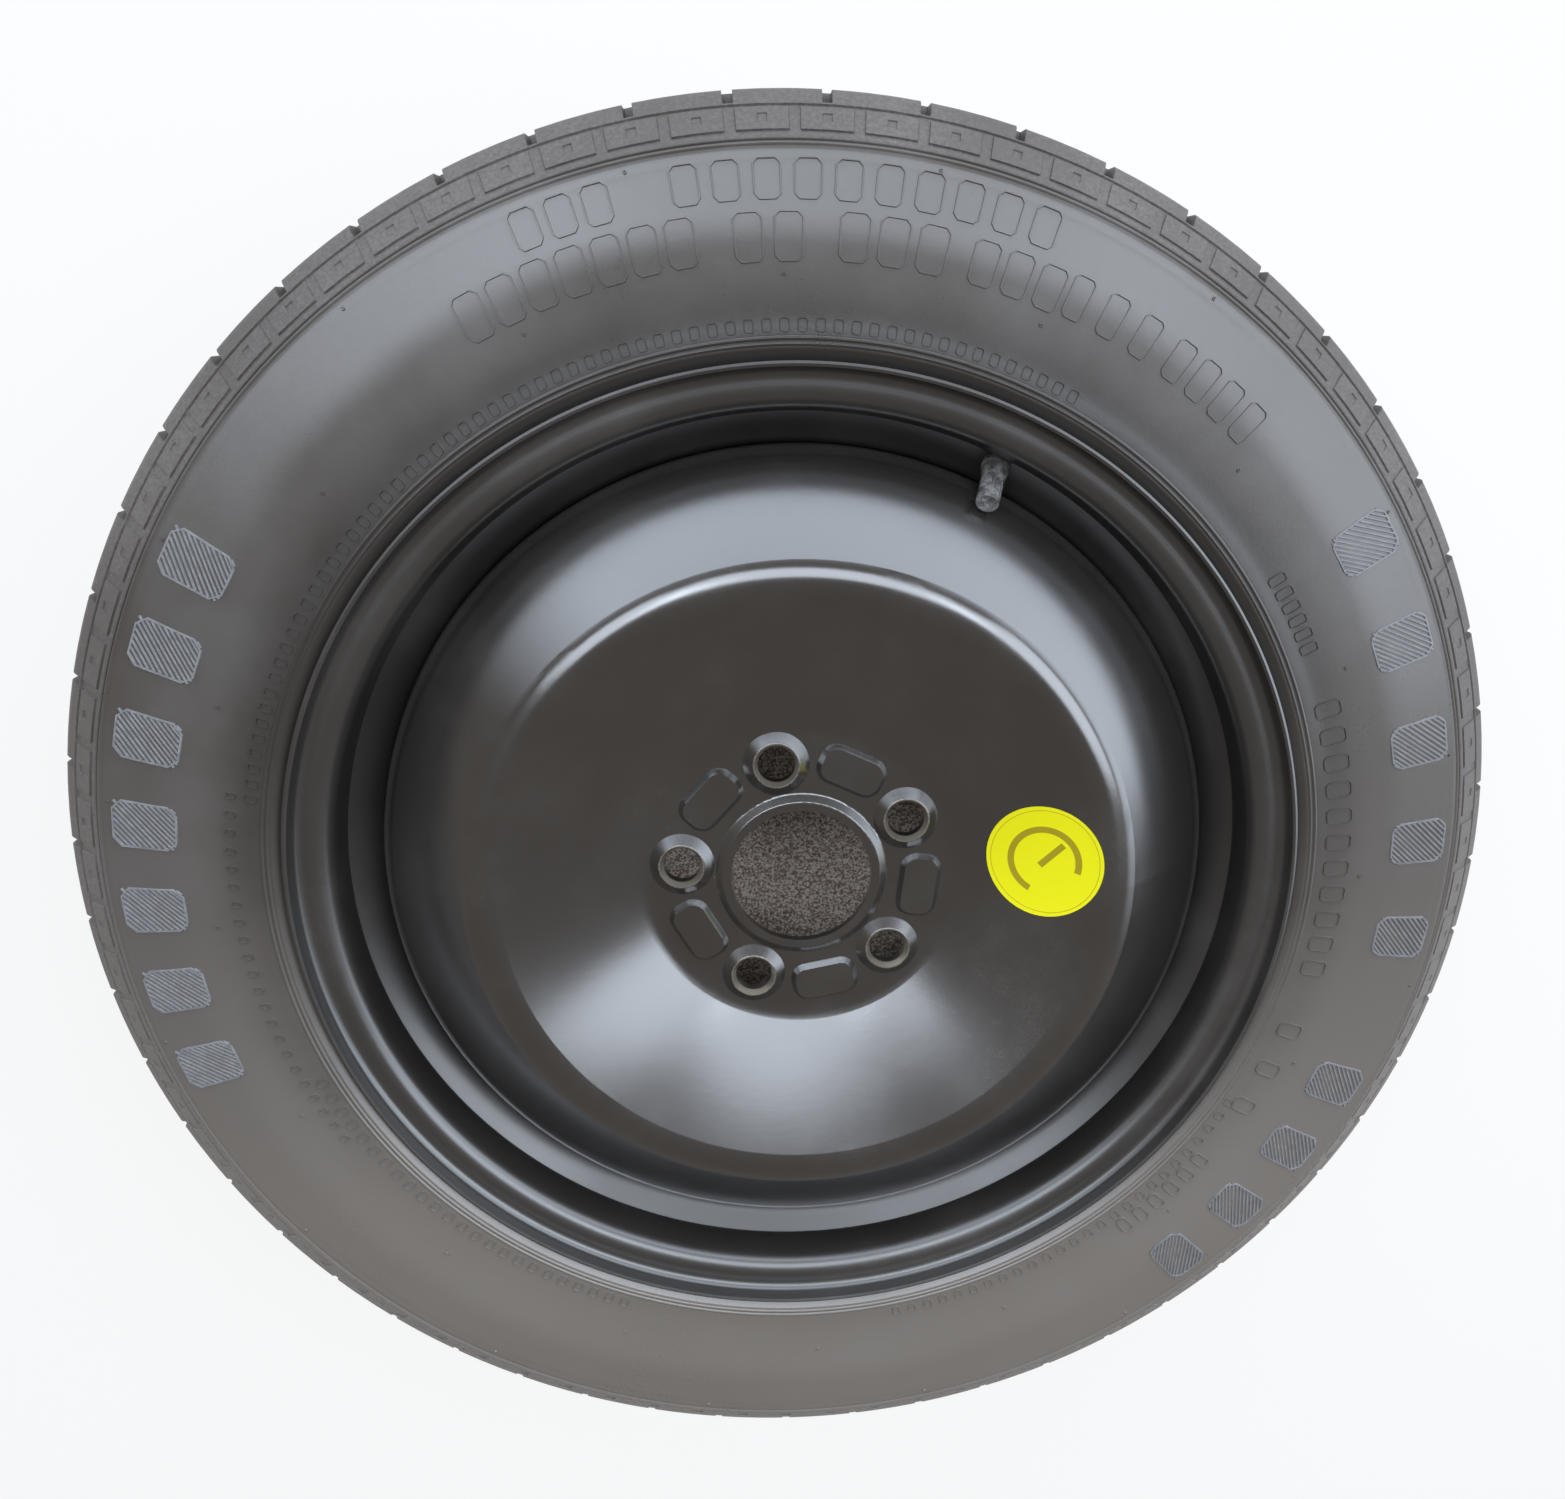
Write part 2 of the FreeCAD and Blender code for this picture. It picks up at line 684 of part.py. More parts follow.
def make_core_pin_seal():
    top = dim.core_tube_depth - dim.core_fit
    inside = dim.pin_radius + dim.stem_bond
    return turned_body("core_pin_seal", [
        (inside, top - dim.pin_seal_height, None),
        (dim.pin_seal_radius, top - dim.pin_seal_height, None),
        (dim.pin_seal_radius, top, None),
        (inside, top, None),
    ])


def make_core_spring():
    """Coil spring between the ledge of the barrel and the collar of the pin."""
    coil_radius = (dim.pin_radius + dim.core_bore_radius) / 2
    floor = ledge_top + dim.spring_gap + dim.spring_wire_radius
    path = doc.addObject("Part::Helix", "spring_path")
    bind(path, "Radius", coil_radius)
    bind(path, "Height", dim.spring_length - 2 * dim.spring_wire_radius)
    bind(path, "Pitch", (dim.spring_length - 2 * dim.spring_wire_radius) / dim.spring_turns)
    path.Placement = valve_place(floor.value)
    wire = doc.addObject("Part::Circle", "spring_wire")
    bind(wire, "Radius", dim.spring_wire_radius)
    start = FreeCAD.Placement(FreeCAD.Vector(coil_radius.value, 0, 0), UPRIGHT)
    wire.Placement = valve_place(floor.value).multiply(start)
    spring = doc.addObject("Part::Sweep", "core_spring")
    spring.Label = "core_spring"
    spring.Sections = [wire]
    spring.Spine = (path, ["Edge1"])
    spring.Solid = True
    spring.Frenet = True
    return spring


def make_valve_cap():
    bore = dim.stem_thread_radius + dim.cap_fit
    roof = cap_ceiling + dim.cap_roof
    body = turned_body("valve_cap", [
        (bore, cap_floor, None),
        (dim.cap_radius, cap_floor, None),
        (dim.cap_radius, roof, dim.cap_edge),
        (ZERO, roof, None),
        (ZERO, cap_ceiling, None),
        (bore, cap_ceiling, None),
    ])
    outline = body_sketch(body, "cap_groove_outline", "XY_Plane")
    bind(outline, "AttachmentOffset.Base.z", cap_floor)
    circle = Part.Circle(FreeCAD.Vector(dim.cap_radius.value, 0, 0), FreeCAD.Vector(0, 0, 1),
                         dim.cap_groove_radius.value)
    groove_circle = outline.addGeometry(circle, False)
    fix_point(outline, groove_circle, 3, dim.cap_radius, ZERO)
    number = outline.addConstraint(
        Sketcher.Constraint("Radius", groove_circle, dim.cap_groove_radius.value))
    bind(outline, "Constraints[%d]" % number, dim.cap_groove_radius)
    groove = body.newObject("PartDesign::Pocket", "cap_groove")
    groove.Profile = outline
    groove.Reversed = True
    bind(groove, "Length", roof - cap_floor - dim.cap_groove_end)
    round_pattern(body, [groove], "cap_grooves", dim.cap_groove_count)
    return body


def make_cap_seal():
    return turned_body("cap_seal", [
        (ZERO, seal_floor, None),
        (dim.cap_seal_radius, seal_floor, None),
        (dim.cap_seal_radius, seal_floor + dim.cap_seal_height, None),
        (ZERO, seal_floor + dim.cap_seal_height, None),
    ])


def make_label():
    """Round sticker: a thin cone on the inner slope of the dome, trimmed by an upright cylinder."""
    slope = (dim.crest_height - dim.disc_wall) / (crest_radius - dim.hub_pad_radius)
    near = dim.label_place_radius - dim.label_radius
    far = dim.label_place_radius + dim.label_radius
    lift = dim.disc_wall + dim.label_gap
    near_level = lift + (near - dim.hub_pad_radius) * slope
    far_level = lift + (far - dim.hub_pad_radius) * slope
    section = upright_sketch("label_section", [
        (near, near_level, None),
        (far, far_level, None),
        (far, far_level + dim.label_thickness, None),
        (near, near_level + dim.label_thickness, None),
    ], True)
    strip = revolve("label_cone", section)
    punch = doc.addObject("Part::Cylinder", "label_punch")
    bind(punch, "Radius", dim.label_radius)
    bind(punch, "Height", 2 * dim.label_radius)
    around = FreeCAD.Rotation(WHEEL_AXIS, dim.label_angle.value)
    lean = FreeCAD.Rotation(FreeCAD.Vector(0, 1, 0), -math.degrees(math.atan(slope.value)))
    middle = lift.value + (dim.label_place_radius - dim.hub_pad_radius).value * slope.value
    spot = around.multVec(FreeCAD.Vector(dim.label_place_radius.value, 0, middle))
    facing = around.multiply(lean)
    punch.Placement = FreeCAD.Placement(spot - facing.multVec(WHEEL_AXIS) * dim.label_radius.value, facing)
    label = doc.addObject("Part::Common", "label")
    label.Label = "label"
    label.Base = strip
    label.Tool = punch
    return label


valve_bodies = [make_valve_body(), make_valve_stem(), make_core_barrel(), make_core_gasket(),
                make_core_pin(), make_core_pin_seal(), make_valve_cap(), make_cap_seal()]
for piece in valve_bodies:
    piece.Placement = valve_place()
sub_parts = valve_bodies + [make_core_spring(), make_rim(), make_disc(), make_weld_beads(),
                            make_tyre(), make_label()]
doc.recompute()

faults = ["%s: %s" % (item.Name, item.getStatusString()) for item in doc.Objects
          if "Invalid" in item.State or "Error" in item.State]
faults += ["%s has no sound solid" % piece.Label for piece in sub_parts
           if piece.Shape.isNull() or not piece.Shape.isValid() or not piece.Shape.Solids]
if faults:
    raise RuntimeError("; ".join(faults))

os.makedirs("parts", exist_ok=True)
for piece in sub_parts:
    piece.Shape.exportStep("parts/%s.step" % piece.Label)
    print("%-14s %2d solids %10.1f mm3" % (piece.Label, len(piece.Shape.Solids), piece.Shape.Volume))
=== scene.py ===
import json
import math

import bpy
import numpy as np
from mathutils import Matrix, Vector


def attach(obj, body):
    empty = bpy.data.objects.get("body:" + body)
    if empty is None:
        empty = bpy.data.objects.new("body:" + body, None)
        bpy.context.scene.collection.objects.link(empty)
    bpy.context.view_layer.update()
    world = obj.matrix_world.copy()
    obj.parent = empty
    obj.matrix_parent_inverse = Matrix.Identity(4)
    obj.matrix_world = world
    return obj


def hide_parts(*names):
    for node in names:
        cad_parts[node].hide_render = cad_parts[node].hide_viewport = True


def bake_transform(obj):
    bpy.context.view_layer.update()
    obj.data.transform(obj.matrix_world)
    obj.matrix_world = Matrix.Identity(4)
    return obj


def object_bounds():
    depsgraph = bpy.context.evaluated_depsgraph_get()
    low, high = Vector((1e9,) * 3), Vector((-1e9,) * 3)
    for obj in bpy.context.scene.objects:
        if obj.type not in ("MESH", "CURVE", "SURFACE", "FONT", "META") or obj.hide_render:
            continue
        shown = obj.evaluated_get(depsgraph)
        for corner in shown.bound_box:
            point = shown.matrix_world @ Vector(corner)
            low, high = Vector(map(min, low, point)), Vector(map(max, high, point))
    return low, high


# Looks of a narrow temporary car wheel that lies face up: tyre, painted rim and disc, valve and label.
# Metres, in the frame of the CAD part: origin at the hub mounting face, +Z along the wheel axis.
# The dictionaries of tyre, rim and marks are in millimetres.

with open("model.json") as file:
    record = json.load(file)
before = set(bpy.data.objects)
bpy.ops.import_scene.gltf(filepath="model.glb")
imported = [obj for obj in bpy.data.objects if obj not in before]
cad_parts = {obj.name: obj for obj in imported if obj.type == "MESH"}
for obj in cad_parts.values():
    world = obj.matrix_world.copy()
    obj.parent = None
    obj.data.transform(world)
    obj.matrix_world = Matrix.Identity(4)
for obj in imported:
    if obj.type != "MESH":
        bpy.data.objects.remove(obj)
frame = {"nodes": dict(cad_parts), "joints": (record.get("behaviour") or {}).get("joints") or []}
cadBox = [list(corner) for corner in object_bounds()]
nodes = frame["nodes"]
mm = 0.001
fullTurn = 2 * math.pi
print("frame loaded:", len(nodes), "nodes")


# Shader wiring

class Wire:
    # a socket of one node tree; sums and products of wires add Math nodes
    def __init__(self, tree, socket=None):
        self.tree = tree
        self.socket = socket

    # any other node: its settings come first, then its sockets by name or number
    def add(self, kind, settings=None, inputs=None, out=0):
        node = self.tree.nodes.new(kind)
        for name, value in (settings or {}).items():
            setattr(node, name, value)
        for name, value in (inputs or {}).items():
            self.feed(node.inputs[name], value)
        return Wire(self.tree, node.outputs[out])

    def feed(self, socket, value):
        if isinstance(value, Wire):
            self.tree.links.new(value.socket, socket)
        else:
            socket.default_value = value

    def maths(self, operation, first, second=0.0):
        return self.add("ShaderNodeMath", {"operation": operation}, {0: first, 1: second})

    def __add__(self, other):
        return self.maths("ADD", self, other)

    def __radd__(self, other):
        return self.maths("ADD", other, self)

    def __sub__(self, other):
        return self.maths("SUBTRACT", self, other)

    def __rsub__(self, other):
        return self.maths("SUBTRACT", other, self)

    def __mul__(self, other):
        return self.maths("MULTIPLY", self, other)

    def __rmul__(self, other):
        return self.maths("MULTIPLY", other, self)

    def __truediv__(self, other):
        return self.maths("DIVIDE", self, other)

    def __rtruediv__(self, other):
        return self.maths("DIVIDE", other, self)

    def __abs__(self):
        return self.maths("ABSOLUTE", self)

    def least(self, other):
        return self.maths("MINIMUM", self, other)

    def most(self, other):
        return self.maths("MAXIMUM", self, other)

    def root(self):
        return self.maths("SQRT", self)

    # 0 below low, 1 above high, smooth between; low may lie above high
    def ramp(self, low, high):
        return self.add("ShaderNodeMapRange", {"interpolation_type": "SMOOTHSTEP"},
                        {"Value": self, "From Min": low, "From Max": high})

    # 1 inside the band from low to high, with soft edges
    def band(self, low, high, edge):
        return self.ramp(low - edge, low + edge) * self.ramp(high + edge, high - edge)

    def noise(self, place, scale, detail, roughness=0.55):
        return self.add("ShaderNodeTexNoise", None, {
            "Vector": place, "Scale": scale, "Detail": detail, "Roughness": roughness})

    def mixColour(self, factor, first, second):
        return self.add("ShaderNodeMix", {"data_type": "RGBA"}, {0: factor, 6: first, 7: second}, 2)


def rgb(red, green, blue):
    return (red, green, blue, 1.0)


# both coordinates in axes turned by an angle
def turnedAxes(x, y, angle):
    return x * math.cos(angle) + y * math.sin(angle), y * math.cos(angle) - x * math.sin(angle)


class Finish:
    # a new material with its shader and the coordinates that its patterns read
    def __init__(self, name, constants):
        self.material = bpy.data.materials.new(name)
        self.material.use_nodes = True
        tree = self.material.node_tree
        self.shader = tree.nodes["Principled BSDF"]
        self.wire = Wire(tree)
        for socket, value in constants.items():
            self.shader.inputs[socket].default_value = value
        self.place = self.wire.add("ShaderNodeTexCoord", None, None, "Object")
        split = tree.nodes.new("ShaderNodeSeparateXYZ")
        tree.links.new(self.place.socket, split.inputs[0])
        self.x, self.y, self.z = [Wire(tree, socket) for socket in split.outputs]
        self.radius = (self.x * self.x + self.y * self.y).root()

    # a noise by its scale, detail and roughness
    def noise(self, settings):
        return self.wire.noise(self.place, *settings)

    def set(self, socket, value):
        self.wire.feed(self.shader.inputs[socket], value)

    def bump(self, height, distance, strength):
        self.set("Normal", self.wire.add("ShaderNodeBump", None, {
            "Strength": strength, "Distance": distance, "Height": height}))


def dress(name, material):
    mesh = nodes[name].data
    mesh.materials.clear()
    mesh.materials.append(material)
    mesh.shade_smooth()


# Materials

paintLook = {
    "black": rgb(0.019, 0.017, 0.016), "dust": rgb(0.09, 0.082, 0.074), "bare": rgb(0.36, 0.32, 0.27),
    "fray": (900.0, 3.0), "cloud": (14.0, 5.0, 0.6), "grain": (1400.0, 2.0), "ripple": (320.0, 2.0),
    "dustRamp": (0.45, 0.75), "dustShare": 0.22, "smooth": 0.18, "dull": 0.30, "relief": 0.05 * mm,
    "boltCircle": 54.0 * mm, "boltCount": 5, "firstBolt": math.radians(100.0),
    # bare seats: radius, softness and fraying of the edge, levels over which they set in, metal and roughness
    "seatRadius": 10.1 * mm, "seatEdge": 0.3 * mm, "seatFray": 1.6 * mm, "seatLevels": (4.1 * mm, 4.7 * mm),
    "seatMetal": 0.75, "seatRough": 0.12,
    # the radii over which the rim's duller coat sets in, its added roughness and the share of coat it lacks
    "rimRadii": (183.0 * mm, 187.0 * mm), "rimDull": 0.14, "rimCoat": 0.6,
}


# semi-gloss black paint: dust and roughness by noise, bare metal within the seat radius of each bolt axis,
# and a duller coat by a ramp of the radius where the rim begins
def wheelPaint():
    look = paintLook
    finish = Finish("wheelPaint", {"IOR": 2.0, "Coat IOR": 1.6, "Coat Roughness": 0.2})
    wire = finish.wire
    nearest = None
    for number in range(look["boltCount"]):
        angle = look["firstBolt"] + number * fullTurn / look["boltCount"]
        east = finish.x - look["boltCircle"] * math.cos(angle)
        north = finish.y - look["boltCircle"] * math.sin(angle)
        apart = (east * east + north * north).root()
        nearest = apart if nearest is None else nearest.least(apart)
    frayed = nearest + (finish.noise(look["fray"]) - 0.5) * look["seatFray"]
    worn = frayed.ramp(look["seatRadius"] + look["seatEdge"], look["seatRadius"] - look["seatEdge"])
    worn = worn * finish.z.ramp(*look["seatLevels"])
    cloud, grain, ripple = [finish.noise(look[key]) for key in ("cloud", "grain", "ripple")]
    dusty = (cloud * 0.7 + grain * 0.3).ramp(*look["dustRamp"])
    onRim = finish.radius.ramp(*look["rimRadii"])
    coloured = wire.mixColour(dusty * look["dustShare"], look["black"], look["dust"])
    finish.set("Base Color", wire.mixColour(worn, coloured, look["bare"]))
    finish.set("Metallic", worn * look["seatMetal"])
    rough = look["smooth"] + dusty * (look["dull"] - look["smooth"])
    finish.set("Roughness", rough + worn * look["seatRough"] + onRim * look["rimDull"])
    finish.set("Coat Weight", 1.0 - onRim * look["rimCoat"])
    finish.bump(ripple * 0.6 + grain * 0.4, look["relief"], 0.5)
    return finish.material


rubberLook = {
    # the bead colour is a darker one that is painted shade near the rim
    "wall": rgb(0.064, 0.055, 0.048), "wallPale": rgb(0.098, 0.090, 0.084), "bead": rgb(0.026, 0.022, 0.019),
    # the last colour on the next line is a paler one that is painted light on the far side, towards -Y
    "tread": rgb(0.075, 0.062, 0.055), "dust": rgb(0.15, 0.135, 0.125), "paintedFarLight": rgb(0.25, 0.225, 0.20),
    "cloud": (9.0, 6.0, 0.62), "speck": (700.0, 3.0, 0.6), "smear": (38.0, 5.0, 0.65),
    "paleRamp": (0.35, 0.7), "dustRamp": (0.4, 0.72), "relief": 0.15 * mm,
    # the radii over which tread and the darker bead zone, which is painted shade, set in, and how far smears
    # shift that zone
    "treadRadii": (288.4 * mm, 289.8 * mm), "paintedBeadShadeRadii": (252.0 * mm, 226.0 * mm), "paintedBeadShadeShift": 14.0 * mm,
    "paintedBeadShadeShare": 0.9,
    # the Y places over which the paler far side, which is painted light, sets in, and how far clouds shift it
    "paintedFarLightPlaces": (0.12, -0.2), "paintedFarLightShift": 0.2, "paintedFarLightShare": 0.65,
    "rough": 0.31, "cloudRough": 0.2, "speckRough": 0.1, "treadRough": 0.3,
}


# rubber: smoother grey wall inside the shoulder rib, warm matte tread outside it, darker towards the bead as
# painted shade, and paler towards -Y as painted light; each zone is a ramp of radius or Y, shifted by noise
def tyreRubber():
    look = rubberLook
    finish = Finish("tyreRubber", {"IOR": 1.75})
    wire = finish.wire
    cloud, speck, smear = [finish.noise(look[key]) for key in ("cloud", "speck", "smear")]
    tread = finish.radius.ramp(*look["treadRadii"])
    # painted shade: the wall darker towards the bead, near the rim
    bead = (finish.radius + (smear - 0.5) * look["paintedBeadShadeShift"]).ramp(*look["paintedBeadShadeRadii"])
    # painted light: the wall paler towards -Y, on the far side
    paintedFarLight = (finish.y + (cloud - 0.5) * look["paintedFarLightShift"]).ramp(*look["paintedFarLightPlaces"])
    wall = wire.mixColour(cloud.ramp(*look["paleRamp"]), look["wall"], look["wallPale"])
    wall = wire.mixColour(bead * look["paintedBeadShadeShare"], wall, look["bead"])
    outer = wire.mixColour((cloud * 0.5 + speck * 0.5).ramp(*look["dustRamp"]), look["tread"], look["dust"])
    clean = wire.mixColour(tread, wall, outer)
    # the far side's painted light is mixed over the rest
    finish.set("Base Color", wire.mixColour(paintedFarLight * look["paintedFarLightShare"], clean, look["paintedFarLight"]))
    uneven = (cloud - 0.5) * look["cloudRough"] + (speck - 0.5) * look["speckRough"]
    finish.set("Roughness", look["rough"] + uneven + tread * look["treadRough"])
    finish.bump(speck * 0.6 + smear * 0.4, look["relief"], 0.35)
    return finish.material


labelLook = {
    "yellow": rgb(0.92, 0.88, 0.006), "ink": rgb(0.42, 0.33, 0.012), "edge": 0.12 * mm,
    "place": 107.3 * mm, "compass": math.radians(5.0), "slope": math.atan2(34.0, 67.5),
    # inner and outer radius of border and arc, the arc's opening, and the hand's ends and half width
    "border": (24.225 * mm, 24.575 * mm), "borderShare": 0.8, "arc": (13.7 * mm, 16.7 * mm),
    "openHalf": math.radians(50.0), "openAngle": math.radians(-70.0),
    "hand": (-3.0 * mm, 12.0 * mm), "handHalf": 1.5 * mm, "handAngle": math.radians(42.0),
}


# printed film: a thin border ring, an open thick arc and one hand, all from polar places on the film
def labelFilm():
    look = labelLook
    finish = Finish("labelFilm", {"IOR": 1.45, "Roughness": 0.42})
    edge = look["edge"]
    east, north = turnedAxes(finish.x, finish.y, look["compass"])
    across = (east - look["place"]) / math.cos(look["slope"])
    apart = (across * across + north * north).root()
    along, aside = turnedAxes(across, north, look["openAngle"])
    arc = apart.band(*look["arc"], edge) * (along - abs(aside) / math.tan(look["openHalf"])).ramp(edge, -edge)
    reach, sway = turnedAxes(across, north, look["handAngle"])
    hand = abs(sway).ramp(look["handHalf"] + edge, look["handHalf"] - edge) * reach.band(*look["hand"], edge)
    ink = arc.most(hand).most(apart.band(*look["border"], edge) * look["borderShare"])
    finish.set("Base Color", finish.wire.mixColour(ink, look["yellow"], look["ink"]))
    return finish.material


mouldedLook = {
    "cloud": (260.0, 5.0, 0.65), "speck": (2400.0, 2.0), "dustRamp": (0.38, 0.66), "dustRough": 0.25,
    "relief": 0.06 * mm,
    # black, dust, amount of dust and roughness of each
    "valveRubber": (rgb(0.035, 0.034, 0.034), rgb(0.30, 0.29, 0.28), 0.85, 0.55),
    "capPlastic": (rgb(0.06, 0.06, 0.062), rgb(0.46, 0.45, 0.45), 0.9, 0.45),
    "sealRubber": (rgb(0.03, 0.03, 0.03), rgb(0.08, 0.08, 0.08), 0.4, 0.6),
    # a paler copy of the tyre rubber for the hatched bars, which is painted light
    "paintedLightRubber": (rgb(0.19, 0.19, 0.20), rgb(0.32, 0.32, 0.33), 0.6, 0.36),
}


# dusty moulded black: pale, rougher dust by a ramp of two noises
def dustyBlack(name):
    look = mouldedLook
    black, dust, amount, roughness = look[name]
    finish = Finish(name, {"IOR": 1.5})
    cloud, speck = [finish.noise(look[key]) for key in ("cloud", "speck")]
    dusty = (cloud * 0.65 + speck * 0.35).ramp(*look["dustRamp"]) * amount
    finish.set("Base Color", finish.wire.mixColour(dusty, black, dust))
    finish.set("Roughness", roughness + dusty * look["dustRough"])
    finish.bump(cloud * 0.5 + speck * 0.5, look["relief"], 0.4)
    return finish.material


metalLook = {
    "grain": (2600.0, 2.0), "tarnish": (420.0, 4.0), "tarnishRamp": (0.42, 0.7), "grainRough": 0.15,
    "tarnishRough": 0.12, "relief": 0.02 * mm,
    # bright and tarnished colour and roughness of each
    "brass": (rgb(0.62, 0.45, 0.18), rgb(0.36, 0.25, 0.11), 0.3),
    "drawnSteel": (rgb(0.6, 0.6, 0.6), rgb(0.4, 0.39, 0.38), 0.28),
}


# worked metal: a fine grain and a slight tarnish, both by noise
def workedMetal(name):
    look = metalLook
    bright, dark, roughness = look[name]
    finish = Finish(name, {"Metallic": 1.0})
    grain = finish.noise(look["grain"])
    tarnish = finish.noise(look["tarnish"]).ramp(*look["tarnishRamp"])
    finish.set("Base Color", finish.wire.mixColour(tarnish, bright, dark))
    finish.set("Roughness", roughness + (grain - 0.5) * look["grainRough"] + tarnish * look["tarnishRough"])
    finish.bump(grain, look["relief"], 0.4)
    return finish.material


paint, rubber = wheelPaint(), tyreRubber()
brass, drawnSteel = workedMetal("brass"), workedMetal("drawnSteel")
# the paler rubber of the hatched bars is painted light
sealRubber, paintedLightRubber = dustyBlack("sealRubber"), dustyBlack("paintedLightRubber")
dress("label", labelFilm())
dress("valve_body", dustyBlack("valveRubber"))
dress("valve_cap", dustyBlack("capPlastic"))
for name in ("disc", "weld_beads"):
    dress(name, paint)
for name in ("valve_stem", "core_barrel", "core_pin"):
    dress(name, brass)
for name in ("core_gasket", "core_pin_seal", "cap_seal"):
    dress(name, sealRubber)
print("materials ready")


# Floor, light and camera

stageLook = {
    "floorLevel": cadBox[0][2], "floorHalf": 9.0, "pale": rgb(0.80, 0.80, 0.79), "white": rgb(1.0, 1.0, 1.0),
    "whiteShare": 0.8,
    "grit": rgb(0.24, 0.165, 0.12), "gritPale": rgb(0.88, 0.76, 0.66), "gritRadii": (0.21, 0.2),
    "speck": (850.0, 3.0, 0.7), "speckRamp": (0.40, 0.62),
    "dim": rgb(0.225, 0.20, 0.175), "cool": (0.80, 0.885, 1.0),
    # the low bright band of the world: compass angle, sines of height at its edges, cosines of its ends
    "bandCompass": math.radians(65.0), "bandFoot": (0.02, 0.1), "bandTop": (0.56, 0.42),
    "bandEnds": (-0.2, 0.45), "bandStrength": 2.9,
    # the panels overhead: compass angle, distance, tilt from the zenith, height and width of each
    "panels": {"topPanel": (math.radians(80.0), 1.52, math.radians(28.0), 0.7, 1.3),
               "rightPanel": (math.radians(14.0), 1.6, math.radians(40.0), 0.8, 1.0),
               "leftPanel": (math.radians(138.0), 1.55, math.radians(35.0), 0.7, 0.7)},
    "panelPower": 11.6,  # watts to the square metre
}

cameraLook = {
    "place": (-0.01115, 0.20236, 0.48425), "turned": (-19.464, -3.680, -1.123), "clipStart": 0.01,
    "focalPixels": 1144.49, "imageWidth": 1565, "imageHeight": 1499, "middle": (835.93, 807.36),
    "sensor": 36.0,
}


def makeObject(name, vertices, faces, material, smoothAngle=None):
    mesh = bpy.data.meshes.new(name)
    mesh.from_pydata(np.asarray(vertices).tolist(), [], faces)
    mesh.update()
    mesh.materials.append(material)
    if smoothAngle is not None:
        mesh.shade_smooth()
        mesh.set_sharp_from_angle(angle=smoothAngle)
    thing = bpy.data.objects.new(name, mesh)
    bpy.context.scene.collection.objects.link(thing)
    return thing


# speckled grit under the wheel within a radius, and round it a pale floor that the camera and glossy rays see
# as nearly white, with a share of its own shading left for the shadow; from below it is clear
def floorGround():
    look = stageLook
    finish = Finish("floorGround", {"Roughness": 0.9, "Specular IOR Level": 0.1})
    wire, tree = finish.wire, finish.material.node_tree
    under = finish.radius.ramp(*look["gritRadii"])
    speck = finish.noise(look["speck"]).ramp(*look["speckRamp"])
    grit = wire.mixColour(speck, look["grit"], look["gritPale"])
    finish.set("Base Color", wire.mixColour(under, look["pale"], grit))
    camera, glossy, through = [wire.add("ShaderNodeLightPath", None, None, ray) for ray in (
        "Is Camera Ray", "Is Glossy Ray", "Is Transmission Ray")]
    seen = camera.most(glossy).most(through) * (1.0 - under) * look["whiteShare"]
    glow = wire.add("ShaderNodeEmission", None, {"Color": look["white"]})
    ground = Wire(tree, finish.shader.outputs[0])
    above = wire.add("ShaderNodeMixShader", None, {0: seen, 1: ground, 2: glow})
    below = wire.add("ShaderNodeNewGeometry", None, None, "Backfacing")
    clear = wire.add("ShaderNodeBsdfTransparent")
    mixed = wire.add("ShaderNodeMixShader", None, {0: below, 1: above, 2: clear})
    wire.feed(tree.nodes["Material Output"].inputs["Surface"], mixed)
    return finish.material


# dim all round, with a bright band low over one half of the horizon: ramps of height and sideways angle
def makeWorld():
    look = stageLook
    world = bpy.data.worlds.new("studio")
    bpy.context.scene.world = world
    world.use_nodes = True
    tree = world.node_tree
    wire = Wire(tree)
    split = tree.nodes.new("ShaderNodeSeparateXYZ")
    wire.feed(split.inputs[0], wire.add("ShaderNodeTexCoord", None, None, "Generated"))
    x, y, z = [Wire(tree, socket) for socket in split.outputs]
    flat = (x * x + y * y).root().most(0.001)
    ahead = (x * math.cos(look["bandCompass"]) + y * math.sin(look["bandCompass"])) / flat
    band = z.ramp(*look["bandFoot"]) * z.ramp(*look["bandTop"]) * ahead.ramp(*look["bandEnds"])
    bright = tuple(look["bandStrength"] * part for part in look["cool"]) + (1.0,)
    wire.feed(tree.nodes["Background"].inputs["Color"], wire.mixColour(band, look["dim"], bright))


def makeStage():
    look = stageLook
    half, level = look["floorHalf"], look["floorLevel"]
    corners = [(-half, -half, level), (half, -half, level), (half, half, level), (-half, half, level)]
    makeObject("floor", corners, [(0, 1, 2, 3)], floorGround())
    makeWorld()
    for name, (compass, away, tilt, high, wide) in look["panels"].items():
        lamp = bpy.data.lights.new(name, "AREA")
        lamp.shape = "RECTANGLE"
        lamp.size, lamp.size_y = wide, high
        lamp.color = look["cool"]
        lamp.energy = look["panelPower"] * wide * high
        thing = bpy.data.objects.new(name, lamp)
        bpy.context.scene.collection.objects.link(thing)
        outward = away * math.sin(tilt)
        thing.location = (outward * math.cos(compass), outward * math.sin(compass), away * math.cos(tilt))
        thing.rotation_euler = (-tilt, 0.0, compass - math.pi / 2)


